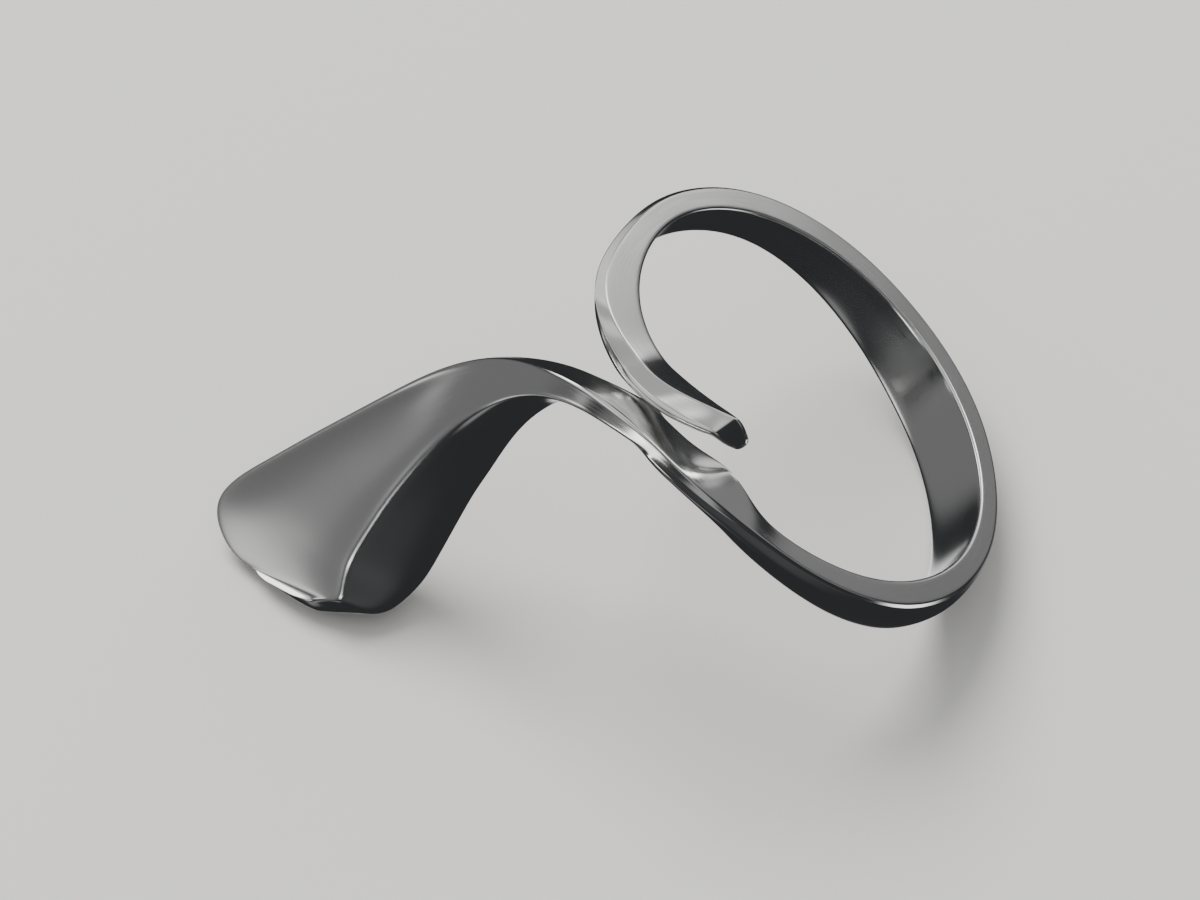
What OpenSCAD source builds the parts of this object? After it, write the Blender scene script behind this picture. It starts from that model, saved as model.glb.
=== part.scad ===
// Adjustable ring with a teardrop end.
//
// One solid of polished silver. A springy band goes most of the way round the
// finger. At one side of the gap it lifts into a short flat end; at the other it
// leaves the finger as a slim arm, rises over a rounded hump and swells into a
// teardrop with a flat face and a full round belly.
//
// The whole ring is one skin drawn through cross-sections. Five lines run along
// it from end to end: the inner edge on the finger (I), the ridge (A), the outer
// edge (B) and the two sides of the underside between B and I. Round the band the
// face between I and A is the near side of the band and the face between A and B
// is a fine chamfer. On the arm the chamfer opens out and becomes the hollowed
// face of the teardrop. The same happens, more shortly, at the free end, which
// swings in a little toward the finger and is cut off at a slant.
//
// The ring's own frame has the finger along Z and the near side of the band at
// z = 0; angles run round the finger from the middle of the gap. Last of all the
// ring is laid on the table, the way it comes to rest.

/* [Finger] */
// Diameter of the finger hole, mm
finger_d = 17.5; // [15:0.5:21]

/* [Edges] */
// Width of the chamfer between the band's near side and its outer side, mm
chamfer = 0.12; // [0.06:0.02:0.2]
// How far the polished rounding reaches to each side of an edge, mm
edge_soft = 0.10; // [0.06:0.02:0.2]
// The same for the edge that lies on the finger, mm
inner_soft = 0.20; // [0.06:0.02:0.3]

/* [Teardrop] */
// How far the rounding reaches to each side of an edge of the face, mm
face_soft = 0.22; // [0.1:0.02:0.3]
// Wall between the face of the teardrop and its belly on the outer side, mm
belly_back = 0.8; // [0.5:0.1:1.2]
// Swell of the belly just below the face, mm
belly_swell = 0.1; // [0:0.05:0.3]
// How far the teardrop's round end stands out past its last section, mm
tip_dome = 0.3; // [0.1:0.05:0.5]

/* [Free end] */
// How far the free end stands out past its last section, mm
end_dome = 0.25; // [0.1:0.05:0.5]

/* [Lying on the table] */
// Lean of the finger axis away from upright, degrees
rest_tilt = 38.9; // [0:0.1:90]
// Where round the finger the ring touches the table, degrees
rest_spin = 140.5; // [0:0.1:360]
// Heading of the ring on the table, degrees
rest_heading = 93.6; // [-180:0.1:180]

/* [Smoothness] */
// Steps from one section to the next
steps_along = 3; // [1:1:3]
// Steps from one point of a section to the next
steps_round = 2; // [1:1:2]

/* [Hidden] */
finger_r = finger_d / 2;

// Sections of the arm and the teardrop, from the drop's end to the band.
// Each section sits on the middle of the face between A and B.
PSI = 0;        // angle round the finger, degrees
OUT = 1;        // distance out from the finger's surface, mm
RISE = 2;       // place along the finger, mm
ROLL = 3;       // turn of the face away from facing outward, degrees
FACE = 4;       // width of the face from A to B, mm
SKEW = 5;       // turn of the section in the plane of the face, degrees
SHOULDER = 6;   // width of the strip from A to I, mm
FALL = 7;       // angle of that strip below the face, degrees
DEPTH = 8;      // depth of the underside below the face, mm
LEAN = 9;       // lean of the underside toward B, mm
REACH = 10;     // reach of the underside past the face on the outer side, mm
ROUNDNESS = 11; // 0 = underside square as on the band, 1 = full round belly
DISH = 12;      // depth to which the face is hollowed, mm
arm = [
    // psi,   out,   rise, roll, face, skew, shoulder, fall, depth, lean, reach, roundness, dish
    [-41.0,  3.57, -19.25,  -15, 3.20,  -18,     0.30,   80,  0.80, 0.80,   0.9, 1.0, 0.00],
    [-41.6,  3.61, -19.15,  -11, 5.10,  -31,     0.35,   80,  1.70, 1.70,   0.9, 1.0, 0.02],
    [-43.3,  3.77, -19.05,  -12, 6.60,  -33,     0.40,   80,  2.50, 2.40,   0.8, 1.0, 0.05],
    [-46.1,  4.05, -18.70,  -20, 7.30,  -18,     0.40,   80,  3.00, 3.30,   0.6, 1.0, 0.09],
    [-48.1,  4.26, -18.05,  -28, 7.20,    8,     0.40,   80,  3.40, 4.00,   0.4, 1.0, 0.13],
    [-48.8,  4.30, -17.05,  -30, 6.50,   21,     0.40,   80,  3.50, 4.10,   0.2, 1.0, 0.16],
    [-49.0,  4.26, -15.60,  -30, 5.70,   23,     0.40,   80,  3.40, 3.80,   0.1, 1.0, 0.17],
    [-49.3,  4.20, -13.65,  -30, 4.70,   22,     0.40,   80,  3.20, 3.40,   0.0, 1.0, 0.15],
    [-49.1,  4.07, -11.60,  -30, 3.75,   18,     0.40,   80,  2.90, 2.90,   0.0, 1.0, 0.12],
    [-48.7,  3.93,  -9.60,  -30, 3.00,    9,     0.40,   80,  2.60, 2.60,   0.0, 1.0, 0.09],
    [-48.2,  3.75,  -7.70,  -25, 2.50,    2,     0.45,   80,  2.20, 2.20,   0.0, 1.0, 0.06],
    [-46.1,  3.55,  -5.85,  -14, 2.05,    0,     0.50,   80,  1.90, 1.50,   0.0, 1.0, 0.04],
    [-42.7,  3.45,  -4.35,   -4, 1.60,    0,     0.75,   76,  1.70, 0.90,   0.0, 0.9, 0.02],
    [-38.2,  3.35,  -3.06,    1, 1.18,    0,     1.12,   72,  1.50, 0.40,   0.0, 0.8, 0.00],
    [-33.5,  3.15,  -2.11,    3, 0.93,    0,     1.34,   74,  1.40, 0.10,   0.0, 0.7, 0.00],
    [-28.4,  2.95,  -1.36,    5, 0.83,    0,     1.58,   80,  1.20, 0.00,   0.0, 0.6, 0.00],
    [-23.3,  2.65,  -0.91,    5, 0.73,    0,     2.10,   86,  0.95, 0.00,   0.0, 0.5, 0.00],
    [-18.1,  2.35,  -0.56,    4, 0.63,    0,     2.35,   90,  0.85, 0.00,   0.0, 0.3, 0.00],
];

// Sections of the band, from the arm round the finger to the free end.
// Distances out are from the finger's surface.
I_OUT = 1;      // inner edge I: distance out, mm
I_RISE = 2;     // inner edge I: place along the finger, mm
A_OUT = 3;      // ridge A: distance out, mm
A_RISE = 4;     // ridge A: place along the finger, mm
B_OUT = 5;      // outer edge B: distance out, mm
B_RISE = 6;     // outer edge B: place along the finger, mm
WIDTH = 7;      // width of the band along the finger, mm
BACK = 8;       // distance out of the hidden rear edge, mm
SWELL = 9;      // swell of the outer side below B, mm
// A plain stretch of band: flat near side, fine chamfer, wall thick, band wide.
function plain(psi, wall, width, back, swell) =
    [psi, 0, 0, wall - chamfer, 0, wall, -chamfer, width, back, swell];
band = [
    // psi, i_out, i_rise, a_out, a_rise, b_out, b_rise, width, back, swell
    [-13.0, -0.25, -0.36,  2.00, -0.15,  2.05, -0.55,  1.00, 1.30,  0.10],
    [ -7.0, -0.42, -0.08,  1.75, -0.10,  1.85, -0.42,  1.05, 1.20,  0.10],
    [ -1.0, -0.22,  0.44,  1.50, -0.06,  1.65, -0.30,  1.20, 0.90,  0.10],
    [  5.0,  0.00,  0.55,  1.25, -0.03,  1.45, -0.20,  1.35, 0.80,  0.10],
    [ 11.0,  0.00,  0.25,  1.10,  0.00,  1.25, -0.14,  1.40, 0.70,  0.10],
    // psi, wall, width, back, swell
    plain( 18, 1.08, 1.45, 0.60,  0.15),
    plain( 30, 1.12, 1.65, 0.60,  0.15),
    plain( 45, 1.23, 2.05, 0.60,  0.15),
    plain( 60, 1.27, 2.45, 0.65,  0.20),
    plain( 75, 1.18, 2.80, 0.80,  0.25),
    plain( 90, 1.08, 2.95, 0.80,  0.25),
    plain(105, 1.03, 3.10, 0.70,  0.20),
    plain(120, 0.97, 3.30, 0.60,  0.15),
    plain(135, 1.03, 3.30, 0.60,  0.15),
    plain(150, 1.18, 3.20, 0.55,  0.10),
    plain(165, 1.20, 3.05, 0.50,  0.05),
    plain(180, 1.20, 2.70, 0.50,  0.05),
    plain(195, 1.30, 2.30, 0.50,  0.05),
    plain(210, 1.33, 1.95, 0.50,  0.05),
    plain(225, 1.30, 1.70, 0.50,  0.05),
    plain(240, 1.18, 1.70, 0.50,  0.05),
    plain(255, 1.10, 1.80, 0.50,  0.05),
    plain(268, 1.12, 1.80, 0.50,  0.00),
    // psi, i_out, i_rise, a_out, a_rise, b_out, b_rise, width, back, swell
    [280.0,  0.00,  0.00,  1.02,  0.00,  1.25, -0.06,  1.60, 0.60, -0.10],
    [291.0,  0.00,  0.00,  1.28,  0.00,  1.58, -0.07,  1.50, 0.70, -0.25],
    [301.0,  0.00,  0.00,  1.66,  0.00,  2.05, -0.09,  1.40, 0.90, -0.32],
    [310.0, -0.12,  0.00,  1.78,  0.00,  2.25, -0.16,  1.30, 1.10, -0.20],
    [318.0, -0.42,  0.00,  1.38,  0.00,  1.90, -0.32,  1.20, 1.30, -0.08],
    [324.0, -0.80,  0.04,  0.76,  0.02,  1.30, -0.46,  1.10, 1.40,  0.03],
    [328.0, -0.86,  0.28,  0.58,  0.10,  1.12, -0.34,  1.00, 1.40,  0.10],
    [335.0, -0.76,  0.80,  0.40,  0.62,  0.95,  0.05,  0.90, 1.30,  0.12],
    [342.0, -0.78,  1.25, -0.06,  1.20,  0.56,  0.48,  0.80, 1.10,  0.12],
    [348.0, -0.76,  1.65, -0.40,  1.66,  0.34,  1.00,  0.70, 0.90,  0.08],
    [350.0, -0.74,  1.76, -0.56,  1.77,  0.27,  1.16,  0.62, 0.75,  0.05],
    [351.0, -0.76,  1.80, -0.60,  1.81,  0.22,  1.22,  0.60, 0.70,  0.05],
    [352.5, -0.84,  1.79, -0.66,  1.76,  0.15,  1.19,  0.52, 0.65,  0.00],
    [354.5, -0.90,  1.69, -0.70,  1.66, -0.02,  1.15,  0.42, 0.55,  0.00],
    [356.5, -0.92,  1.55, -0.70,  1.52, -0.28,  1.18,  0.35, 0.40,  0.00],
];

// Points of one section, counted from the outer edge B.
ROUND_POINTS = 17;
B_POINT = 0;
A_POINT = 12;
UNDER_POINTS = 6;
// Places across the face, from A (0) to B (1), of the two points that hollow it.
FACE_PLACES = [0.28, 0.72];
// Share of the depth reached by each underside point of a square band section.
BAND_DEPTHS = [0.30, 0.70, 0.97, 1.03, 0.97, 0.50];
// Angles at which an end is drawn in to close it, degrees.
DOME_ANGLES = [30, 58, 80];
// How far up toward the face the closing of the teardrop is centred.
TIP_CENTRE = 0.75;

// Small vector helpers.
function unit(v) = v / norm(v);
function total(list, i = 0) = i == len(list) - 1 ? list[i] : list[i] + total(list, i + 1);
function middle(points) = total(points) / len(points);
function outward(psi) = [cos(psi), sin(psi), 0];
function toward(p, q, reach) = p + unit(q - p) * min(reach, norm(q - p) / 3);

// Places of the underside points across the section, from I (0) to B (1).
function band_places(back, swell) =
    [1 + swell, (1 + swell + back) / 2, back, back / 2, 0.02, 0];

// The underside of a section that hangs from the line I-B: square or round.
// The drop moves all of it, the reach moves it more the nearer it is to B.
function underside(i, b, drop, reach, back, swell, roundness) =
    let (width = norm(b - i), places = band_places(back / width, swell / width))
    [for (k = [0 : UNDER_POINTS - 1])
        let (
            turn = 180 * (k + 1) / (UNDER_POINTS + 1),
            across = places[k] + ((1 + cos(turn)) / 2 - places[k]) * roundness,
            down = BAND_DEPTHS[k] + (sin(turn) - BAND_DEPTHS[k]) * roundness
        )
        i + (b - i) * across + (drop + reach * across) * down];

// One closed section through I, A and B, with points close beside each edge
// so that the skin turns sharply there. The hollow moves the middle of the face.
// Where the underside is a round belly, the outer edge B is up to twice as round as A.
function section(i, a, b, a_soft, b_soft, hollow, drop, reach, back, swell, roundness) =
    let (under = underside(i, b, drop, reach, back, swell, roundness))
    concat(
        [b, toward(b, under[0], b_soft)],
        under,
        [toward(i, under[UNDER_POINTS - 1], inner_soft), i, toward(i, a, inner_soft),
         toward(a, i, a_soft), a, toward(a, b, a_soft)],
        [for (place = FACE_PLACES) a + (b - a) * place + hollow],
        [toward(b, a, b_soft)]);

// The middle of the face on the arm, and where the band takes over from it.
function arm_middle(k) =
    outward(arm[k][PSI]) * (finger_r + arm[k][OUT]) + [0, 0, arm[k][RISE]];
band_start = outward(band[0][PSI]) * (finger_r + (band[0][A_OUT] + band[0][B_OUT]) / 2)
    + [0, 0, (band[0][A_RISE] + band[0][B_RISE]) / 2];
arm_line = concat([for (k = [0 : len(arm) - 1]) arm_middle(k)], [band_start]);

function arm_section(k) =
    let (
        row = arm[k],
        centre = arm_line[k],
        along = unit(arm_line[k + 1] - arm_line[max(k - 1, 0)]),
        radial = outward(row[PSI]),
        out = unit(radial - along * (radial * along)),
        facing = out * cos(row[ROLL]) + cross(out, along) * sin(row[ROLL]),
        across = cross(along, facing) * cos(row[SKEW]) + along * sin(row[SKEW]),
        a = centre - across * row[FACE] / 2,
        b = centre + across * row[FACE] / 2,
        i = a - (across * cos(row[FALL]) + facing * sin(row[FALL])) * row[SHOULDER]
    )
    section(i, a, b, face_soft, face_soft * (1 + row[ROUNDNESS]), -facing * row[DISH],
        across * row[LEAN] - facing * row[DEPTH], -along * row[REACH],
        belly_back, belly_swell, row[ROUNDNESS]);

// A curve drawn through guide points on a circle runs a little inside it;
// this brings it back out to its true radius.
function fullness(k) =
    let (before = band[max(k - 1, 0)][PSI], after = band[min(k + 1, len(band) - 1)][PSI])
    3 / (2 + cos((after - before) / 2));

function band_section(k) =
    let (row = band[k], out = outward(row[PSI]) * fullness(k))
    section(
        out * (finger_r + row[I_OUT]) + [0, 0, row[I_RISE]],
        out * (finger_r + row[A_OUT]) + [0, 0, row[A_RISE]],
        out * (finger_r + row[B_OUT]) + [0, 0, row[B_RISE]],
        edge_soft, edge_soft, [0, 0, 0], [0, 0, -row[WIDTH]], [0, 0, 0],
        row[BACK], row[SWELL], 0);

// The sections drawn in and out past an end, so that it closes round.
function dome(last, inner, length, centring) =
    let (
        mid = middle(last),
        centre = mid + ((last[A_POINT] + last[B_POINT]) / 2 - mid) * centring,
        along = unit(mid - middle(inner))
    )
    [for (angle = DOME_ANGLES)
        [for (p = last) centre + (p - centre) * cos(angle) + along * length * sin(angle)]];

arm_sections = [for (k = [0 : len(arm) - 1]) arm_section(k)];
band_sections = [for (k = [0 : len(band) - 1]) band_section(k)];
tip = dome(arm_sections[0], arm_sections[1], tip_dome, TIP_CENTRE);
free_end = dome(band_sections[len(band) - 1], band_sections[len(band) - 2], end_dome, 0);
guides = concat([for (k = [len(tip) - 1 : -1 : 0]) tip[k]],
    arm_sections, band_sections, free_end);

// A smooth cubic curve past four guide points, t running from 0 to 1.
function curve(p, q, r, s, t) =
    (p * pow(1 - t, 3) + q * (3 * pow(t, 3) - 6 * pow(t, 2) + 4)
        + r * (3 * (t + pow(t, 2) - pow(t, 3)) + 1) + s * pow(t, 3)) / 6;

// Sections of the skin: first along the ring, then round each section.
last_guide = len(guides) - 1;
function guide(k) = guides[min(max(k, 0), last_guide)];
function between(k, t) =
    [for (j = [0 : ROUND_POINTS - 1])
        curve(guide(k - 1)[j], guide(k)[j], guide(k + 1)[j], guide(k + 2)[j], t)];
function refined(row) =
    [for (j = [0 : ROUND_POINTS - 1], s = [0 : steps_round - 1])
        curve(row[(j + ROUND_POINTS - 1) % ROUND_POINTS], row[j],
            row[(j + 1) % ROUND_POINTS], row[(j + 2) % ROUND_POINTS], s / steps_round)];
skin = concat(
    [for (k = [0 : last_guide - 1], s = [0 : steps_along - 1])
        refined(between(k, s / steps_along))],
    [refined(between(last_guide, 0))]);

rows = len(skin);
columns = ROUND_POINTS * steps_round;
skin_points = concat([for (row = skin, p = row) p], [middle(skin[0]), middle(skin[rows - 1])]);
skin_faces = concat(
    [for (k = [0 : rows - 2], j = [0 : columns - 1], half = [0, 1])
        let (
            here = k * columns + j,
            beside = k * columns + (j + 1) % columns,
            ahead = here + columns,
            across = beside + columns
        )
        half == 0 ? [here, across, beside] : [here, ahead, across]],
    [for (j = [0 : columns - 1]) [j, (j + 1) % columns, rows * columns]],
    [for (j = [0 : columns - 1])
        [(rows - 1) * columns + j, rows * columns + 1, (rows - 1) * columns + (j + 1) % columns]]);

// Laying the ring down: its points turned as it rests, to find where the table
// and the middle of the ring are.
function turned(p) =
    let (
        x = p[0] * cos(rest_spin) - p[1] * sin(rest_spin),
        y0 = p[0] * sin(rest_spin) + p[1] * cos(rest_spin),
        y = y0 * cos(rest_tilt) - p[2] * sin(rest_tilt),
        z = y0 * sin(rest_tilt) + p[2] * cos(rest_tilt)
    )
    [x * cos(rest_heading) - y * sin(rest_heading),
     x * sin(rest_heading) + y * cos(rest_heading), z];
laid = [for (p = skin_points) turned(p)];
function low(axis) = min([for (p = laid) p[axis]]);
function high(axis) = max([for (p = laid) p[axis]]);
to_table = [-(low(0) + high(0)) / 2, -(low(1) + high(1)) / 2, -low(2)];

module ring() {
    color("silver")
    translate(to_table)
    rotate([0, 0, rest_heading])
    rotate([rest_tilt, 0, 0])
    rotate([0, 0, rest_spin])
    polyhedron(points = skin_points, faces = skin_faces, convexity = 6);
}

ring();
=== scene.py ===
# %% [markdown]
# # An open silver ring lying on a table
#
# This lesson builds one piece of jewellery: an adjustable ring, forged and filed from one
# length of silver. Polished metal has almost no colour of its own. What the eye reads is the
# room in its surfaces, so the lesson spends its time on three things: a skin that is smooth
# enough to mirror the room cleanly, a finish with the marks that a polishing wheel leaves,
# and lights that put bright and dark where the form needs them.
#
# The solid model of the ring is the frame for everything here. It is loaded first and is
# never moved. Its box gives the size of the ring and its place on the table.

# %% Load the frame
from collections import namedtuple
from math import cos, pi, radians, sin, tan

import bmesh
import bpy
from mathutils import Matrix, Vector


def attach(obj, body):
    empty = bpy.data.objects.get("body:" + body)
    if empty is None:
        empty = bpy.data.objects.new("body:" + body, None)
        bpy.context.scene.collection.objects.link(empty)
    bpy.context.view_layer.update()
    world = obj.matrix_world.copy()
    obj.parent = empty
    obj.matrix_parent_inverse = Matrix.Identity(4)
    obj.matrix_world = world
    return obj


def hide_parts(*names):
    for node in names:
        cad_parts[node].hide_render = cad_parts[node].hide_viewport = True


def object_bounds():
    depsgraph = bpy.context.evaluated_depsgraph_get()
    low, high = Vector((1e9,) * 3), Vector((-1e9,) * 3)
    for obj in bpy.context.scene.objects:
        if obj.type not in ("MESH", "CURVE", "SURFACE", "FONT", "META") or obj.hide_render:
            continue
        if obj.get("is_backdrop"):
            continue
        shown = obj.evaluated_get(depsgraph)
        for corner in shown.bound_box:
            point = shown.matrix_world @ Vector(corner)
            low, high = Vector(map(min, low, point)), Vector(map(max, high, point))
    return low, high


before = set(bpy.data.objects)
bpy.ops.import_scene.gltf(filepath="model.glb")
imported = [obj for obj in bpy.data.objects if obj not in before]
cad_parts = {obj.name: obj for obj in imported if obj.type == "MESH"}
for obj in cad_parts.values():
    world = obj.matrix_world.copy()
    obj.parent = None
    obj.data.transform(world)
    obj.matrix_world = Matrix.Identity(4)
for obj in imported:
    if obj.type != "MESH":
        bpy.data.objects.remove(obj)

SOLID_LOW, SOLID_HIGH = (Vector(corner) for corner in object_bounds())
MM = 0.001
print("the solid is", [round(side / MM, 2) for side in SOLID_HIGH - SOLID_LOW], "mm")

# %% [markdown]
# ## The sections of the ring
#
# A ring like this starts as a bar that is hammered wider and thinner along its length. The
# plainest way to describe it is a row of cross-sections. Each has the same five corners: the
# inner edge (I) on the finger, the ridge (A), the outer edge (B), and the underside between
# B and I. On the band the strip from I to A is the flat near side and the strip from A to B
# is only a fine chamfer. Along the arm the chamfer opens out and becomes the broad face of
# the teardrop. Sweeping one fixed profile along a curve could not do that, so the sections
# are kept in two short tables, a row for each, and the rest is worked out from them.
#
# A row begins with the angle round the finger, psi, in degrees. Distances are millimetres:
# out from the finger's surface, or along the finger, which is called rise. An arm row then
# turns the face (roll and skew), says how wide the face is and the strip beside it
# (shoulder) and how far that strip falls away (fall), and gives the underside its depth,
# lean, reach and roundness. Dish is how far the face is hollowed. A band row gives the three
# corners one by one, because each goes its own way near the gap, and then the band's width,
# its hidden rear edge (back) and the swell of its outer side.

# %% The arm and the teardrop, a row for each section
FINGER_R = 8.75  # half of 17.5, a common ring size
ArmRow = namedtuple("ArmRow", "psi out rise roll face skew shoulder fall "
                              "depth lean reach roundness dish")
ARM = [ArmRow(*row) for row in [
    (-41.0, 3.57, -19.25, -15, 3.20, -18, 0.30, 80, 0.80, 0.80, 0.9, 1.0, 0.00),
    (-41.6, 3.61, -19.15, -11, 5.10, -31, 0.35, 80, 1.70, 1.70, 0.9, 1.0, 0.02),
    (-43.3, 3.77, -19.05, -12, 6.60, -33, 0.40, 80, 2.50, 2.40, 0.8, 1.0, 0.05),
    (-46.1, 4.05, -18.70, -20, 7.30, -18, 0.40, 80, 3.00, 3.30, 0.6, 1.0, 0.09),
    (-48.1, 4.26, -18.05, -28, 7.20, 8, 0.40, 80, 3.40, 4.00, 0.4, 1.0, 0.13),
    (-48.8, 4.30, -17.05, -30, 6.50, 21, 0.40, 80, 3.50, 4.10, 0.2, 1.0, 0.16),
    (-49.0, 4.26, -15.60, -30, 5.70, 23, 0.40, 80, 3.40, 3.80, 0.1, 1.0, 0.17),
    (-49.3, 4.20, -13.65, -30, 4.70, 22, 0.40, 80, 3.20, 3.40, 0.0, 1.0, 0.15),
    (-49.1, 4.07, -11.60, -30, 3.75, 18, 0.40, 80, 2.90, 2.90, 0.0, 1.0, 0.12),
    (-48.7, 3.93, -9.60, -30, 3.00, 9, 0.40, 80, 2.60, 2.60, 0.0, 1.0, 0.09),
    (-48.2, 3.75, -7.70, -25, 2.50, 2, 0.45, 80, 2.20, 2.20, 0.0, 1.0, 0.06),
    (-46.1, 3.55, -5.85, -14, 2.05, 0, 0.50, 80, 1.90, 1.50, 0.0, 1.0, 0.04),
    (-42.7, 3.45, -4.35, -4, 1.60, 0, 0.75, 76, 1.70, 0.90, 0.0, 0.9, 0.02),
    (-38.2, 3.35, -3.06, 1, 1.18, 0, 1.12, 72, 1.50, 0.40, 0.0, 0.8, 0.00),
    (-33.5, 3.15, -2.11, 3, 0.93, 0, 1.34, 74, 1.40, 0.10, 0.0, 0.7, 0.00),
    (-28.4, 2.95, -1.36, 5, 0.83, 0, 1.58, 80, 1.20, 0.00, 0.0, 0.6, 0.00),
    (-23.3, 2.65, -0.91, 5, 0.73, 0, 2.10, 86, 0.95, 0.00, 0.0, 0.5, 0.00),
    (-18.1, 2.35, -0.56, 4, 0.63, 0, 2.35, 90, 0.85, 0.00, 0.0, 0.3, 0.00),
]]
print(len(ARM), "sections from the tip of the teardrop to the band")

# %% The band, from the arm round the finger to the free end
CHAMFER = 0.12
BandRow = namedtuple("BandRow", "psi i_out i_rise a_out a_rise b_out b_rise width back swell")


def plain(psi, wall, width, back, swell):
    """A stretch of band with a flat near side and a fine chamfer: wall thick, width wide."""
    return BandRow(psi, 0, 0, wall - CHAMFER, 0, wall, -CHAMFER, width, back, swell)


BAND = [
    BandRow(-13.0, -0.25, -0.36, 2.00, -0.15, 2.05, -0.55, 1.00, 1.30, 0.10),
    BandRow(-7.0, -0.42, -0.08, 1.75, -0.10, 1.85, -0.42, 1.05, 1.20, 0.10),
    BandRow(-1.0, -0.22, 0.44, 1.50, -0.06, 1.65, -0.30, 1.20, 0.90, 0.10),
    BandRow(5.0, 0.00, 0.55, 1.25, -0.03, 1.45, -0.20, 1.35, 0.80, 0.10),
    BandRow(11.0, 0.00, 0.25, 1.10, 0.00, 1.25, -0.14, 1.40, 0.70, 0.10),
    # psi, wall, width, back, swell
    plain(18, 1.08, 1.45, 0.60, 0.15),
    plain(30, 1.12, 1.65, 0.60, 0.15),
    plain(45, 1.23, 2.05, 0.60, 0.15),
    plain(60, 1.27, 2.45, 0.65, 0.20),
    plain(75, 1.18, 2.80, 0.80, 0.25),
    plain(90, 1.08, 2.95, 0.80, 0.25),
    plain(105, 1.03, 3.10, 0.70, 0.20),
    plain(120, 0.97, 3.30, 0.60, 0.15),
    plain(135, 1.03, 3.30, 0.60, 0.15),
    plain(150, 1.18, 3.20, 0.55, 0.10),
    plain(165, 1.20, 3.05, 0.50, 0.05),
    plain(180, 1.20, 2.70, 0.50, 0.05),
    plain(195, 1.30, 2.30, 0.50, 0.05),
    plain(210, 1.33, 1.95, 0.50, 0.05),
    plain(225, 1.30, 1.70, 0.50, 0.05),
    plain(240, 1.18, 1.70, 0.50, 0.05),
    plain(255, 1.10, 1.80, 0.50, 0.05),
    plain(268, 1.12, 1.80, 0.50, 0.00),
    BandRow(280.0, 0.00, 0.00, 1.02, 0.00, 1.25, -0.06, 1.60, 0.60, -0.10),
    BandRow(291.0, 0.00, 0.00, 1.28, 0.00, 1.58, -0.07, 1.50, 0.70, -0.25),
    BandRow(301.0, 0.00, 0.00, 1.66, 0.00, 2.05, -0.09, 1.40, 0.90, -0.32),
    BandRow(310.0, -0.12, 0.00, 1.78, 0.00, 2.25, -0.16, 1.30, 1.10, -0.20),
    BandRow(318.0, -0.42, 0.00, 1.38, 0.00, 1.90, -0.32, 1.20, 1.30, -0.08),
    BandRow(324.0, -0.80, 0.04, 0.76, 0.02, 1.30, -0.46, 1.10, 1.40, 0.03),
    BandRow(328.0, -0.86, 0.28, 0.58, 0.10, 1.12, -0.34, 1.00, 1.40, 0.10),
    BandRow(335.0, -0.76, 0.80, 0.40, 0.62, 0.95, 0.05, 0.90, 1.30, 0.12),
    BandRow(342.0, -0.78, 1.25, -0.06, 1.20, 0.56, 0.48, 0.80, 1.10, 0.12),
    BandRow(348.0, -0.76, 1.65, -0.40, 1.66, 0.34, 1.00, 0.70, 0.90, 0.08),
    BandRow(350.0, -0.74, 1.76, -0.56, 1.77, 0.27, 1.16, 0.62, 0.75, 0.05),
    BandRow(351.0, -0.76, 1.80, -0.60, 1.81, 0.22, 1.22, 0.60, 0.70, 0.05),
    BandRow(352.5, -0.84, 1.79, -0.66, 1.76, 0.15, 1.19, 0.52, 0.65, 0.00),
    BandRow(354.5, -0.90, 1.69, -0.70, 1.66, -0.02, 1.15, 0.42, 0.55, 0.00),
    BandRow(356.5, -0.92, 1.55, -0.70, 1.52, -0.28, 1.18, 0.35, 0.40, 0.00),
]
print(len(BAND), "sections round the finger")

# %% [markdown]
# ## From a row to seventeen points
#
# A mirror finish shows every flaw of a mesh, so the skin is left to subdivision, which draws
# a smooth surface through a coarse cage. A cage corner on its own would come out as a soft
# bend. Each real edge therefore has a helper point close to either side, which holds the
# bend down to the radius that a polished edge has: a tenth of a millimetre away on the band,
# twice that where the ring touches the finger, and up to four times on the teardrop. That is
# better than a crease here: a crease is perfectly sharp and never catches a highlight. Two
# more points lie on the face between A and B. They hold it flat, or hollow it a little, as on
# the teardrop, whose face was dished with a rounded hammer.

# %% The helper point beside a corner
EDGE_SOFT = 0.10  # how far the rounding reaches from an edge of the band
INNER_SOFT = 0.20  # the same for the edge that lies on the finger
FACE_SOFT = 0.22  # the same for the edges of the arm and the teardrop


def beside(corner, other, soft):
    """The helper point beside a corner, on the way to the other point."""
    way = other - corner
    return corner + way.normalized() * min(soft, way.length / 3)


print("an edge is rounded over", EDGE_SOFT, INNER_SOFT, "or", FACE_SOFT, "mm to each side")

# %% The points of the underside
BAND_DEPTHS = [0.30, 0.70, 0.97, 1.03, 0.97, 0.50]  # shares of the depth, from B to I
LAST_PLACES = [0.02, 0]  # of the two points nearest to I, as shares of the way to B
UNDER_POINTS = len(BAND_DEPTHS)


def underside(inner, outer, drop, reach, back, swell, roundness):
    """The points below a section: square as on the band (0) or round as a belly (1)."""
    width = (outer - inner).length
    back, swell = back / width, swell / width
    band_places = [1 + swell, (1 + swell + back) / 2, back, back / 2, *LAST_PLACES]
    points = []
    for k, (place, depth) in enumerate(zip(band_places, BAND_DEPTHS)):
        turn = radians(180 * (k + 1) / (UNDER_POINTS + 1))
        across = place + ((1 + cos(turn)) / 2 - place) * roundness
        down = depth + (sin(turn) - depth) * roundness
        points.append(inner + (outer - inner) * across + (drop + reach * across) * down)
    return points


print("the underside of a section has", UNDER_POINTS, "points")

# %% One section through the inner edge, the ridge and the outer edge
FACE_PLACES = [0.28, 0.72]  # from A (0) to B (1)
B_POINT, A_POINT, SECTION_POINTS = 0, 12, 17


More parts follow.
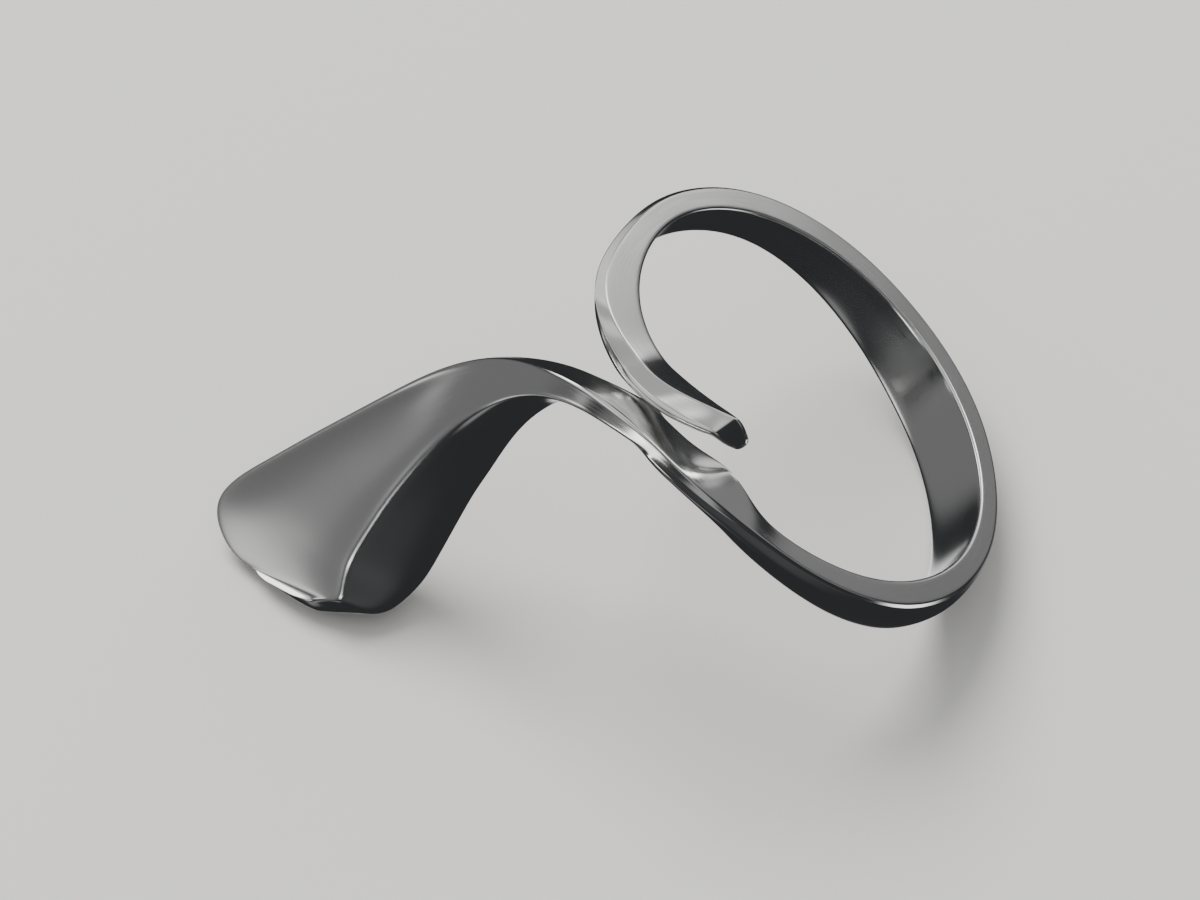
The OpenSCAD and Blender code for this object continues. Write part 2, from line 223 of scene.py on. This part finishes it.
def section(i, a, b, a_soft, b_soft, hollow, drop, reach, back, swell, roundness):
    """The seventeen points of one section, counted round from the outer edge."""
    under = underside(i, b, drop, reach, back, swell, roundness)
    face = [a + (b - a) * place + hollow for place in FACE_PLACES]
    return [b, beside(b, under[0], b_soft), *under, beside(i, under[-1], INNER_SOFT),
            i, beside(i, a, INNER_SOFT), beside(a, i, a_soft), a, beside(a, b, a_soft),
            *face, beside(b, a, b_soft)]


print("a section has", SECTION_POINTS, "points")

# %% The sections of the arm face the way the arm runs
BELLY_BACK, BELLY_SWELL = 0.8, 0.1  # for the arm's sections that aren't quite round


def round_finger(psi, out, rise):
    """The point at an angle round the finger, a distance out from it and a place along it."""
    reach = FINGER_R + out
    return Vector((reach * cos(radians(psi)), reach * sin(radians(psi)), rise))


first = BAND[0]
ARM_LINE = [round_finger(row.psi, row.out, row.rise) for row in ARM]
ARM_LINE.append(round_finger(first.psi, (first.a_out + first.b_out) / 2,
                             (first.a_rise + first.b_rise) / 2))


def arm_section(k):
    """Section k of the arm. The face has its middle on the arm's line."""
    row = ARM[k]
    along = (ARM_LINE[k + 1] - ARM_LINE[max(k - 1, 0)]).normalized()
    radial = Vector((cos(radians(row.psi)), sin(radians(row.psi)), 0))
    out = (radial - along * radial.dot(along)).normalized()
    roll, skew, fall = radians(row.roll), radians(row.skew), radians(row.fall)
    facing = out * cos(roll) + out.cross(along) * sin(roll)
    across = along.cross(facing) * cos(skew) + along * sin(skew)
    a = ARM_LINE[k] - across * row.face / 2
    b = ARM_LINE[k] + across * row.face / 2
    i = a - (across * cos(fall) + facing * sin(fall)) * row.shoulder
    drop = across * row.lean - facing * row.depth
    return section(i, a, b, FACE_SOFT, FACE_SOFT * (1 + row.roundness), -facing * row.dish,
                   drop, -along * row.reach, BELLY_BACK, BELLY_SWELL, row.roundness)


arm_sections = [arm_section(k) for k in range(len(ARM))]
reach = (ARM_LINE[0] - ARM_LINE[-1]).length
print("the arm ends", round(reach, 1), "mm from where it starts")

# %% The sections of the band stand on the finger
def fullness(k):
    """Subdivision cuts across the corners of a round, and this puts them out by as much."""
    before = BAND[max(k - 1, 0)].psi
    after = BAND[min(k + 1, len(BAND) - 1)].psi
    return 3 / (2 + cos(radians((after - before) / 2)))


def band_section(k):
    """Section k of the band, with its three corners as the row gives them."""
    row = BAND[k]
    out = Vector((cos(radians(row.psi)), sin(radians(row.psi)), 0)) * fullness(k)
    up = Vector((0, 0, 1))
    return section(out * (FINGER_R + row.i_out) + up * row.i_rise,
                   out * (FINGER_R + row.a_out) + up * row.a_rise,
                   out * (FINGER_R + row.b_out) + up * row.b_rise,
                   EDGE_SOFT, EDGE_SOFT, Vector(), -up * row.width, Vector(),
                   row.back, row.swell, 0)


band_sections = [band_section(k) for k in range(len(BAND))]
fullest = max(fullness(k) for k in range(len(BAND)))
print("the band's corners are put out by up to", round(100 * (fullest - 1), 1), "percent")

# %% Both ends are drawn in and out, so that they close round
TIP_DOME = 0.3
TIP_CENTRE = 0.75  # how far up toward the face the closing of the teardrop is centred
END_DOME = 0.25
DOME_ANGLES = [30, 58, 80]


def middle(points):
    """The mean of some points."""
    return sum(points, Vector()) / len(points)


def dome(last, inner, length, centring):
    """Copies of the last section, each drawn in further and standing out further."""
    mid = middle(last)
    centre = mid + ((last[A_POINT] + last[B_POINT]) / 2 - mid) * centring
    along = (mid - middle(inner)).normalized()
    return [[centre + (p - centre) * cos(radians(angle)) + along * length * sin(radians(angle))
             for p in last] for angle in DOME_ANGLES]


tip = dome(arm_sections[0], arm_sections[1], TIP_DOME, TIP_CENTRE)
free_end = dome(band_sections[-1], band_sections[-2], END_DOME, 0)
SECTIONS = tip[::-1] + arm_sections + band_sections + free_end
print(len(SECTIONS), "sections of", SECTION_POINTS, "points")

# %% [markdown]
# ## Drawing the skin
#
# The skin is modelled as it would be by hand. A circle with one vertex for each point of a
# section is added where the first section is. Its edges are extruded once for each further
# section, and after each extrusion the new loop is put in the shape of that section. Every
# vertex carries the number of its point and of its section. Extruding copies such numbers
# along, so the new vertices know which point of the section they are.

# %% Add the first section as a circle and number its vertices
MILLIMETRES = Matrix.Scale(MM, 4)


def shape_open_loop(skin, k):
    """Puts the selected loop of vertices in the shape of section k."""
    bm = bmesh.from_edit_mesh(skin.data)
    point = bm.verts.layers.int["point"]
    station = bm.verts.layers.int["station"]
    for vertex in bm.verts:
        if vertex.select:
            vertex.co = MILLIMETRES @ SECTIONS[k][vertex[point]]
            vertex[station] = k
    bmesh.update_edit_mesh(skin.data)


bpy.ops.object.select_all(action="DESELECT")
bpy.ops.mesh.primitive_circle_add(vertices=SECTION_POINTS, radius=MM)
ring = bpy.context.object
ring.name = "silver_ring"
bpy.ops.object.mode_set(mode="EDIT")
bm = bmesh.from_edit_mesh(ring.data)
bm.verts.layers.int.new("station")
point = bm.verts.layers.int.new("point")
bm.verts.ensure_lookup_table()
for k, vertex in enumerate(bm.verts):
    vertex[point] = k
bmesh.update_edit_mesh(ring.data)
shape_open_loop(ring, 0)
print("the first loop has", len(bm.verts), "vertices")

# %% Extrude the circle from section to section
for k in range(1, len(SECTIONS)):
    bpy.ops.mesh.extrude_edges_move()
    shape_open_loop(ring, k)
print("the open skin has", len(bmesh.from_edit_mesh(ring.data).faces), "faces")

# %% Close both ends and turn the faces outward
for end in (0, len(SECTIONS) - 1):
    bpy.ops.mesh.select_all(action="DESELECT")
    bm = bmesh.from_edit_mesh(ring.data)
    station = bm.verts.layers.int["station"]
    for vertex in bm.verts:
        vertex.select = vertex[station] == end
    bm.select_flush(True)
    bmesh.update_edit_mesh(ring.data)
    bpy.ops.mesh.edge_face_add()
bpy.ops.mesh.select_all(action="SELECT")
bpy.ops.mesh.normals_make_consistent(inside=False)
open_edges = [edge for edge in bmesh.from_edit_mesh(ring.data).edges if not edge.is_manifold]
print("the closed skin has", len(open_edges), "open edges")

# %% [markdown]
# ## A map in millimetres
#
# The marks of a polishing wheel run along the band, so their pattern has to follow it round.
# The skin gets a map for that: one way counts millimetres along the ring, the other counts
# millimetres round the section from the ridge. The map is cut open along the hidden
# underside.

# %% Measure the skin along the ring and round each section
SEAM = 5  # the point on the underside where the map is cut
along = [0.0]
for before, here in zip(SECTIONS, SECTIONS[1:]):
    along.append(along[-1] + (middle(here) - middle(before)).length)


def round_the_section(points):
    """How far each point lies round the section from the ridge, from the cut to the cut."""
    order = [(SEAM + step) % SECTION_POINTS for step in range(SECTION_POINTS + 1)]
    places = [0.0]
    for here, there in zip(order, order[1:]):
        places.append(places[-1] + (points[there] - points[here]).length)
    ridge = places[order.index(A_POINT)]
    return [place - ridge for place in places]


around = [round_the_section(points) for points in SECTIONS]
print("the ring measures", round(along[-1], 1), "mm along its middle")

# %% Write the map on the corners of every face
bm = bmesh.from_edit_mesh(ring.data)
point = bm.verts.layers.int["point"]
station = bm.verts.layers.int["station"]
corner_map = bm.loops.layers.uv.new("along_and_round")
for face in bm.faces:
    steps = [(corner.vert[point] - SEAM) % SECTION_POINTS for corner in face.loops]
    meets_the_cut = SECTION_POINTS - 1 in steps
    for corner, step in zip(face.loops, steps):
        if meets_the_cut and step == 0:
            step = SECTION_POINTS
        k = corner.vert[station]
        corner[corner_map].uv = (along[k], around[k][step])
bmesh.update_edit_mesh(ring.data)
bpy.ops.object.mode_set(mode="OBJECT")
print("the cage has", len(ring.data.polygons), "faces")

# %% [markdown]
# ## Laying the ring on the table
#
# Put down by itself, the ring leans on the far rim of its loop and on the belly of its
# teardrop. It is turned the way the solid lies, and then moved so that the two boxes meet.
# Only the mesh is turned, never the object, so the piece stays at the origin.

# %% Smooth the cage
LEVELS = 3


def apply_modifier(piece, kind, **settings):
    """Adds a modifier to a piece and applies it."""
    bpy.ops.object.select_all(action="DESELECT")
    piece.select_set(True)
    bpy.context.view_layer.objects.active = piece
    modifier = piece.modifiers.new(kind.lower(), kind)
    for name, value in settings.items():
        setattr(modifier, name, value)
    bpy.ops.object.modifier_apply(modifier=modifier.name)


apply_modifier(ring, "SUBSURF", levels=LEVELS, render_levels=LEVELS)
bpy.ops.object.shade_smooth()
print("the smooth skin has", len(ring.data.polygons), "faces")

# %% Turn it and set it down
REST_TILT, REST_SPIN, REST_HEADING = 38.9, 140.5, 93.6  # degrees
lie = (Matrix.Rotation(radians(REST_HEADING), 4, "Z") @ Matrix.Rotation(radians(REST_TILT), 4, "X")
       @ Matrix.Rotation(radians(REST_SPIN), 4, "Z"))
ring.data.transform(lie)
spots = [vertex.co for vertex in ring.data.vertices]
low = Vector(min(spot[axis] for spot in spots) for axis in range(3))
high = Vector(max(spot[axis] for spot in spots) for axis in range(3))
ring.data.transform(Matrix.Translation((SOLID_LOW + SOLID_HIGH - low - high) / 2))
print("the skin is", [round(side / MM, 2) for side in high - low], "mm")

# %% The piece stands for the solid
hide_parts("ring")
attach(ring, "root")
print(ring.name, "stands for the solid")

# %% [markdown]
# ## Polished silver
#
# Sterling silver is a white metal with a trace of warmth. This ring was polished on a wheel,
# which leaves a mirror that is not quite flat. Broad, shallow waves bend the reflections, and
# hair-fine scratches along the band soften them. Both are bumps in the surface here, sized
# in real millimetres, and the scratches change the roughness as well. An image of scratches
# could do it too, but a noise that is stretched along the ring has no edges and no repeat.

# %% A colour from its hex value and a node with its links
def colour(text):
    """A hex sRGB colour as the linear values that a node wants, by the sRGB curve."""
    parts = [int(text[k:k + 2], 16) / 255 for k in (1, 3, 5)]
    return (*[p / 12.92 if p <= 0.04045 else ((p + 0.055) / 1.055) ** 2.4 for p in parts], 1.0)


def add_node(tree, kind, *first_inputs, settings=(), **inputs):
    """Adds a node. An input is a value, or an output to link it to."""
    node = tree.nodes.new("ShaderNode" + kind)
    for name, value in dict(settings).items():
        setattr(node, name, value)
    sockets = [*enumerate(first_inputs), *inputs.items()]
    for name, value in sockets:
        socket = node.inputs[name.replace("_", " ") if isinstance(name, str) else name]
        if isinstance(value, bpy.types.NodeSocket):
            tree.links.new(value, socket)
        else:
            socket.default_value = value
    return node


def new_material(name):
    """A material with an empty node tree."""
    material = bpy.data.materials.new(name)
    material.use_nodes = True
    material.node_tree.nodes.clear()
    return material, material.node_tree


SILVER_WHITE = colour("#f3f3f1")
print("the silver's white is", [round(part, 2) for part in SILVER_WHITE[:3]])

# %% Hair-fine polishing marks along the band
HAIR_LENGTH = 3.0  # on the map, so in millimetres
HAIR_SPACING = 0.08  # the finest that still shows, the real marks are closer
HAIR_DETAIL, HAIR_FINENESS = 3.0, 0.6
SCRATCHES_BEGIN, SCRATCHES_FULL = 0.35, 0.70  # values of the noise
ROUGHNESS_SMOOTH, ROUGHNESS_SCRATCHED = 0.12, 0.20
silver, tree = new_material("polished_sterling_silver")
skin_map = add_node(tree, "UVMap", settings={"uv_map": "along_and_round"}).outputs["UV"]
stretched = add_node(tree, "Mapping", Vector=skin_map,
                     Scale=(1 / HAIR_LENGTH, 1 / HAIR_SPACING, 1))
hairs = add_node(tree, "TexNoise", Vector=stretched.outputs["Vector"], Scale=1.0,
                 Detail=HAIR_DETAIL, Roughness=HAIR_FINENESS).outputs["Fac"]
scratches = add_node(tree, "MapRange", Value=hairs,
                     From_Min=SCRATCHES_BEGIN, From_Max=SCRATCHES_FULL,
                     To_Min=ROUGHNESS_SMOOTH, To_Max=ROUGHNESS_SCRATCHED).outputs["Result"]
print("a mark is", HAIR_LENGTH, "mm long and", HAIR_SPACING, "mm from the next")

# %% [markdown]
# ## Satin where the wheel can't reach
#
# The dished face of the teardrop and the inside of the loop were never brought to a mirror.
# They were rubbed with fine abrasive, which leaves a satin that blurs the room. The same
# material does both finishes, since it is one piece of metal. The map says where a spot is,
# a few Map Range nodes turn that into a roughness, and the roughest answer wins. Each change
# runs over a soft border, as it does where a hand has rubbed. Two materials would meet in a
# hard line instead.

# %% Satin on the teardrop
ROUGHNESS_SATIN = 0.19
DROP_SATIN_TO, DROP_SATIN_GONE = 8.0, 18.0  # along the ring, from the teardrop's tip
places = add_node(tree, "SeparateXYZ", Vector=skin_map).outputs
on_drop = add_node(tree, "MapRange", Value=places["X"],
                   From_Min=DROP_SATIN_TO, From_Max=DROP_SATIN_GONE,
                   To_Min=ROUGHNESS_SATIN, To_Max=ROUGHNESS_SMOOTH).outputs["Result"]
print("the satin of the teardrop is gone", DROP_SATIN_GONE, "mm from its tip")

# %% Satin on the inside, where it begins nearer to the ridge along the arm
ARM_TO, BAND_FROM = 22.0, 27.0  # along the ring
INSIDE_OF_ARM, INSIDE_OF_BAND = -0.2, -1.5  # round the section, from the ridge
INSIDE_BORDER = -0.5  # how far on from there the satin is whole
inside_from = add_node(tree, "MapRange", Value=places["X"], From_Min=ARM_TO, From_Max=BAND_FROM,
                       To_Min=INSIDE_OF_ARM, To_Max=INSIDE_OF_BAND).outputs["Result"]
past_it = add_node(tree, "Math", places["Y"], inside_from, settings={"operation": "SUBTRACT"})
inside = add_node(tree, "MapRange", Value=past_it.outputs["Value"],
                  From_Min=0.0, From_Max=INSIDE_BORDER,
                  To_Min=ROUGHNESS_SMOOTH, To_Max=ROUGHNESS_SATIN).outputs["Result"]
print("the satin inside begins", -INSIDE_OF_BAND, "mm from the ridge")

# %% The roughest of the three counts
satin = add_node(tree, "Math", on_drop, inside, settings={"operation": "MAXIMUM"})
roughness = add_node(tree, "Math", scratches, satin.outputs["Value"],
                     settings={"operation": "MAXIMUM"}).outputs["Value"]
print("roughness runs from", ROUGHNESS_SMOOTH, "to", max(ROUGHNESS_SATIN, ROUGHNESS_SCRATCHED))

# %% Shallow waves left by the wheel, and the scratches on top of them
WAVE_LENGTH = 4.0 * MM
WAVE_DEPTH = 0.010 * MM
WAVE_DETAIL, WAVE_FINENESS = 1.0, 0.4
HAIR_DEPTH = 0.0004 * MM
place = add_node(tree, "TexCoord").outputs["Object"]
waves = add_node(tree, "TexNoise", Vector=place, Scale=1 / WAVE_LENGTH, Detail=WAVE_DETAIL,
                 Roughness=WAVE_FINENESS).outputs["Fac"]
wavy = add_node(tree, "Bump", Strength=1.0, Distance=WAVE_DEPTH, Height=waves)
off_drop = add_node(tree, "MapRange", Value=places["X"], From_Min=DROP_SATIN_TO,
                    From_Max=DROP_SATIN_GONE).outputs["Result"]
scratched = add_node(tree, "Bump", Strength=off_drop, Distance=HAIR_DEPTH, Height=hairs,
                     Normal=wavy.outputs["Normal"])
print("a wave is", WAVE_LENGTH / MM, "mm long and", WAVE_DEPTH / MM, "mm deep")

# %% The silver itself
shader = add_node(tree, "BsdfPrincipled", Base_Color=SILVER_WHITE, Metallic=1.0,
                  Roughness=roughness, Normal=scratched.outputs["Normal"])
add_node(tree, "OutputMaterial", Surface=shader.outputs["BSDF"])
ring.data.materials.append(silver)
print(silver.name, "has", len(tree.nodes), "nodes")

# %% [markdown]
# ## The table and the room
#
# The table is a sheet of pale matt card. It gives the eye an even ground with nothing on it
# but the ring's soft shadow. A pale table would also show in every underside of the ring,
# and drown its form. A photographer puts black card just out of sight to stop that. The same
# is done here by keeping the table and the pale room out of the ring's reflections, so that
# the silver sees a dark room with a few soft lights in it.

# %% The table
TABLE_SIDE = 1.2
TABLE_WHITE, TABLE_ROUGHNESS = "#d8d6d2", 0.8
bpy.ops.object.select_all(action="DESELECT")
bpy.ops.mesh.primitive_plane_add(size=TABLE_SIDE)
table = bpy.context.object
table.name = "table"
table.visible_glossy = False
card, tree = new_material("pale_matt_table")
shader = add_node(tree, "BsdfPrincipled", Base_Color=colour(TABLE_WHITE),
                  Roughness=TABLE_ROUGHNESS)
add_node(tree, "OutputMaterial", Surface=shader.outputs["BSDF"])
table.data.materials.append(card)
table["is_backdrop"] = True
print("the table is", TABLE_SIDE, "m wide")

# %% The room: pale to the camera and the table, dark to the silver
ROOM_PALE, ROOM_DARK = "#c2c4c6", "#2e2f31"
PALE_STRENGTH, DARK_STRENGTH = 0.8, 1.0
world = bpy.data.worlds.new("studio_room")
bpy.context.scene.world = world
world.use_nodes = True
tree = world.node_tree
tree.nodes.clear()
seen_in_gloss = add_node(tree, "LightPath").outputs["Is Glossy Ray"]
pale = add_node(tree, "Background", Color=colour(ROOM_PALE), Strength=PALE_STRENGTH)
dark = add_node(tree, "Background", Color=colour(ROOM_DARK), Strength=DARK_STRENGTH)
room = add_node(tree, "MixShader", seen_in_gloss, pale.outputs["Background"],
                dark.outputs["Background"])
add_node(tree, "OutputWorld", Surface=room.outputs["Shader"])
print(world.name, "is", ROOM_PALE, "to the eye and", ROOM_DARK, "in the silver")

# %% [markdown]
# ## The lights
#
# Each light is a soft panel seen from the ring at an angle round the table (0 is straight
# behind the ring, 90 is to the right) and an angle above it. What counts for the silver is
# how bright a panel looks and how much of the view it fills, so a panel is made from exactly
# those numbers, and its power follows from them.
#
# A bare panel has hard edges, and a polished ring shows them as hard steps. A diffuser cloth
# in front of a studio lamp makes it fade toward its rim, and a few nodes in the light do the
# same here. Some panels stand lower than the table top. The silver doesn't see the table, so
# they reach it, and they do the work of the card that is held low beside a small object.

# %% A light that fades toward its rim
PANEL_CENTRE, PANEL_RIM = (0.5, 0.5, 0.0), 0.5  # on a panel that counts as 1 wide and 1 high


def soften(data, core):
    """Lets a light fade from its core, a share of its half width, to nothing at the rim."""
    data.use_nodes = True
    tree = data.node_tree
    tree.nodes.clear()
    spot = add_node(tree, "NewGeometry").outputs["Parametric"]
    from_middle = add_node(tree, "VectorMath", spot, PANEL_CENTRE,
                           settings={"operation": "DISTANCE"}).outputs["Value"]
    fade = add_node(tree, "MapRange", settings={"interpolation_type": "SMOOTHSTEP"},
                    Value=from_middle, From_Min=PANEL_RIM, From_Max=PANEL_RIM * core)
    glow = add_node(tree, "Emission", Strength=fade.outputs["Result"])
    add_node(tree, "OutputLight", Surface=glow.outputs["Emission"])


print("a panel is dark from", PANEL_RIM, "of its width outward")

# %% A soft panel by where it stands, how wide it looks and how bright it is
RING_MIDDLE = (SOLID_LOW + SOLID_HIGH) / 2
PANEL_DISTANCE = 0.6


def panel(name, azimuth, elevation, width, height, brightness, core=0.5, in_silver=True):
    """A soft light facing the ring. Angles and the width and height seen are in degrees."""
    data = bpy.data.lights.new(name, "AREA")
    data.shape = "RECTANGLE"
    data.size = 2 * PANEL_DISTANCE * tan(radians(width / 2))
    data.size_y = 2 * PANEL_DISTANCE * tan(radians(height / 2))
    data.energy = brightness * pi * data.size * data.size_y  # what such a panel gives off
    soften(data, core)
    light = bpy.data.objects.new(name, data)
    bpy.context.collection.objects.link(light)
    way = Vector((sin(radians(azimuth)) * cos(radians(elevation)),
                  cos(radians(azimuth)) * cos(radians(elevation)), sin(radians(elevation))))
    light.location = RING_MIDDLE + way * PANEL_DISTANCE
    light.rotation_euler = way.to_track_quat("Z", "Y").to_euler()
    light.visible_camera = False
    light.visible_glossy = in_silver
    print(name, "gives", round(data.energy, 3), "W")


print("the panels stand round", [round(part / MM, 1) for part in RING_MIDDLE], "mm")

# %% The panels behind: the flat near side of the band, its inner edge and its outer strip
# name, azimuth, elevation, width, height, brightness
panel("low_window_behind", 44, 4, 22, 16, 0.17, core=0.6)
panel("window_glow", 42.5, 8, 11, 11, 1.0, core=0.2)
panel("inner_edge_lamp", 47, 19, 14, 18, 4.0, core=0.4)
panel("tall_window_behind", 30, 30, 42, 44, 0.80, core=0.6)

# %% The panels above: the lifted end, the outer strip and the bright ridge along the arm
panel("overhead_softbox", -20, 74, 92, 84, 0.40, core=0.7)
panel("overhead_lamp", -65, 83, 14, 14, 1.2, core=0.0)
panel("strip_lamp", 64, 70, 30, 30, 0.35, core=0.3)
panel("upper_left_softbox", -100, 48, 90, 40, 0.70, core=0.7)
panel("arm_lamp", -40, 40, 44, 24, 3.0, core=0.4)

# %% The panels on the right: the side of the arm by the gap and the lower rim of the loop
panel("right_reflector", 78, 28, 50, 50, 0.18)
panel("patch_lamp", 56, 37, 20, 18, 0.35, core=0.3)
panel("low_right_lamp", 98, -16, 40, 34, 2.0, core=0.4)

# %% The panels on the left: the teardrop's face and edges, the left rim and the inside
panel("left_reflector", -78, 0, 104, 60, 0.13, core=0.4)
panel("low_left_lamp", -95, -22, 34, 20, 1.2, core=0.3)
panel("left_lamp", -104, 15, 20, 18, 1.5, core=0.1)
panel("front_left_glow", -132, 18, 34, 22, 0.12, core=0.4)
panel("front_left_lamp", -136, 9.5, 28, 8, 4.0, core=0.4)

# %% The panels for the underside, three for the other sides, and one for the table
panel("low_back_lamp", -15, -50, 36, 40, 1.5, core=0.2)
panel("low_back_reflector", 38, -44, 50, 34, 0.22, core=0.3)
panel("front_glow", 170, 0, 100, 70, 0.035, core=0.0)
panel("softbox_over_camera", 180, 46, 70, 44, 0.30, core=0.5)
panel("low_front_reflector", -134, -32, 38, 30, 0.20, core=0.3)
panel("table_light", -35, 58, 40, 40, 9.0, core=0.9, in_silver=False)

# %% [markdown]
# ## The camera
#
# The photograph was taken with a long lens, a little more than half way up from the table.
# A long lens keeps the loop's near and far rims almost the same size. The numbers here were
# fitted, so that a circle as wide as the finger falls on the loop's near inner edge.

# %% Point the camera at the ring
CAMERA_ELEVATION = 50.88  # degrees, as are the next two
CAMERA_HEADING = 0.11
CAMERA_ROLL = -1.17
CAMERA_DISTANCE = 230.68 * MM
CAMERA_AIM = Vector((-0.21, -1.28, 6.56)) * MM
LENS, SENSOR = 173.9, 36.0  # millimetres
lens = bpy.data.cameras.new("camera")
lens.lens, lens.sensor_width = LENS, SENSOR
lens.clip_start = MM
camera = bpy.data.objects.new("camera", lens)
bpy.context.collection.objects.link(camera)
turn = (Matrix.Rotation(radians(-CAMERA_HEADING), 4, "Z")
        @ Matrix.Rotation(radians(90 - CAMERA_ELEVATION), 4, "X")
        @ Matrix.Rotation(radians(CAMERA_ROLL), 4, "Z"))
camera.matrix_world = (Matrix.Translation(CAMERA_AIM) @ turn
                       @ Matrix.Translation((0, 0, CAMERA_DISTANCE)))
bpy.context.scene.camera = camera
stand = camera.matrix_world.translation
print("the camera stands at", [round(part / MM, 1) for part in stand], "mm")

# %% Finish
print("the scene is built")
